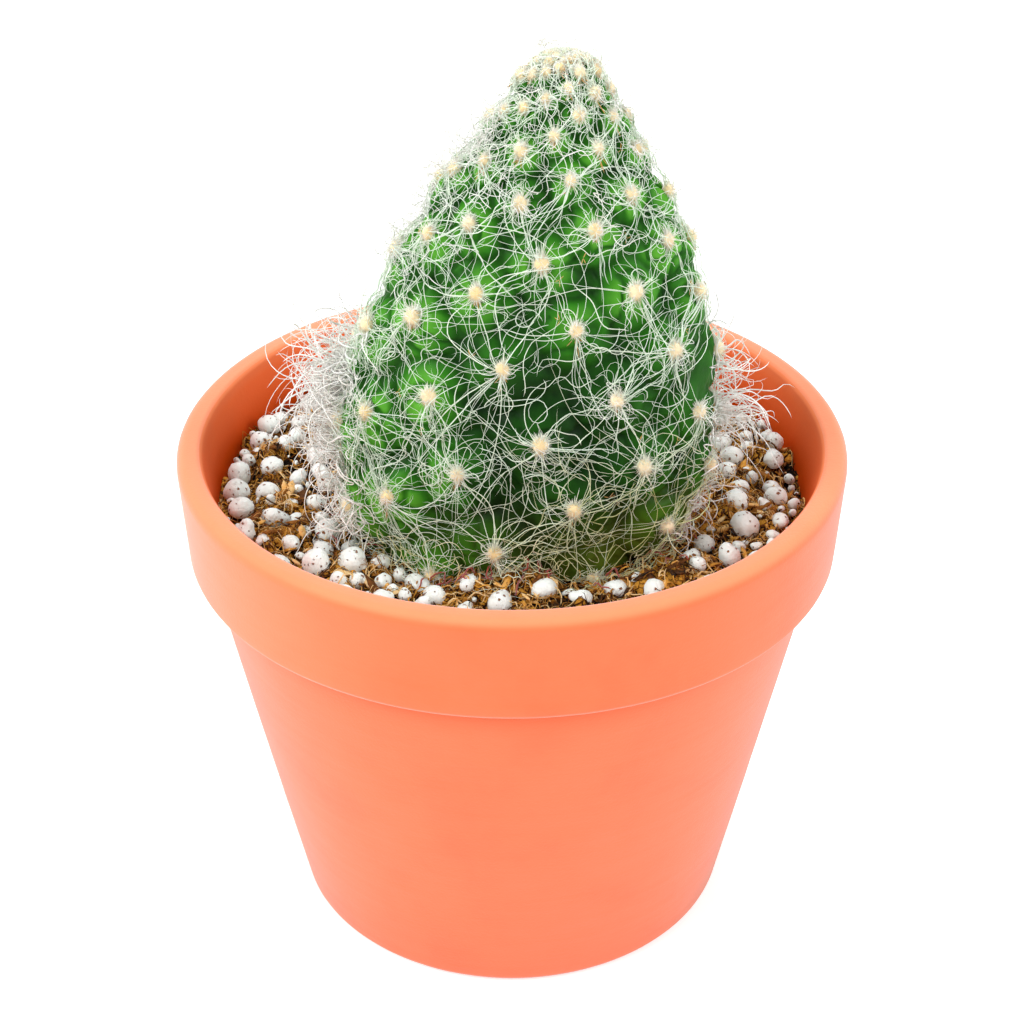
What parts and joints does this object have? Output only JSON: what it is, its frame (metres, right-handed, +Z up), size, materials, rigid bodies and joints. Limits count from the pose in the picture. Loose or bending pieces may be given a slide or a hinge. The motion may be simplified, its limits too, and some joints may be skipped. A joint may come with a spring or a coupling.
{
  "type": "potted prickly pear cactus",
  "caption": "Young prickly pear pad, a blunt cone covered in areoles with fine white hair, rooted in potting mix with perlite in a tapered terracotta pot with a rim band.",
  "frame": {"origin": "centre of the pot's flat underside", "axes": "+Z up along the pot's axis; the pad's flat sides face -Y and +Y, and -Y is the side it is seen from; +X is to the right"},
  "size_m": [0.11, 0.11, 0.158],
  "materials": {
    "terracotta": "matte",
    "potting_mix": "matte",
    "cactus_skin": "satin",
    "perlite": "matte"
  },
  "bodies": {
    "root": {"pot": "terracotta", "soil": "potting_mix", "cactus_pad": "cactus_skin", "perlite_01": "perlite", "perlite_02": "perlite", "perlite_03": "perlite", "perlite_04": "perlite", "perlite_05": "perlite", "perlite_06": "perlite", "perlite_07": "perlite", "perlite_08": "perlite", "perlite_09": "perlite", "perlite_10": "perlite", "perlite_11": "perlite", "perlite_12": "perlite", "perlite_13": "perlite", "perlite_14": "perlite", "perlite_15": "perlite", "perlite_16": "perlite", "perlite_17": "perlite", "perlite_18": "perlite", "perlite_19": "perlite", "perlite_20": "perlite", "perlite_21": "perlite", "perlite_22": "perlite", "perlite_23": "perlite", "perlite_24": "perlite", "perlite_25": "perlite", "perlite_26": "perlite", "perlite_27": "perlite", "perlite_28": "perlite", "perlite_29": "perlite", "perlite_30": "perlite", "perlite_31": "perlite", "perlite_32": "perlite", "perlite_33": "perlite", "perlite_34": "perlite", "perlite_35": "perlite", "perlite_36": "perlite", "perlite_37": "perlite", "perlite_38": "perlite", "perlite_39": "perlite", "perlite_40": "perlite", "perlite_41": "perlite", "perlite_42": "perlite", "perlite_43": "perlite", "perlite_44": "perlite", "perlite_45": "perlite", "perlite_46": "perlite", "perlite_47": "perlite", "perlite_48": "perlite", "perlite_49": "perlite", "perlite_50": "perlite", "perlite_51": "perlite", "perlite_52": "perlite", "perlite_53": "perlite", "perlite_54": "perlite", "perlite_55": "perlite", "perlite_56": "perlite"}
  },
  "joints": []
}
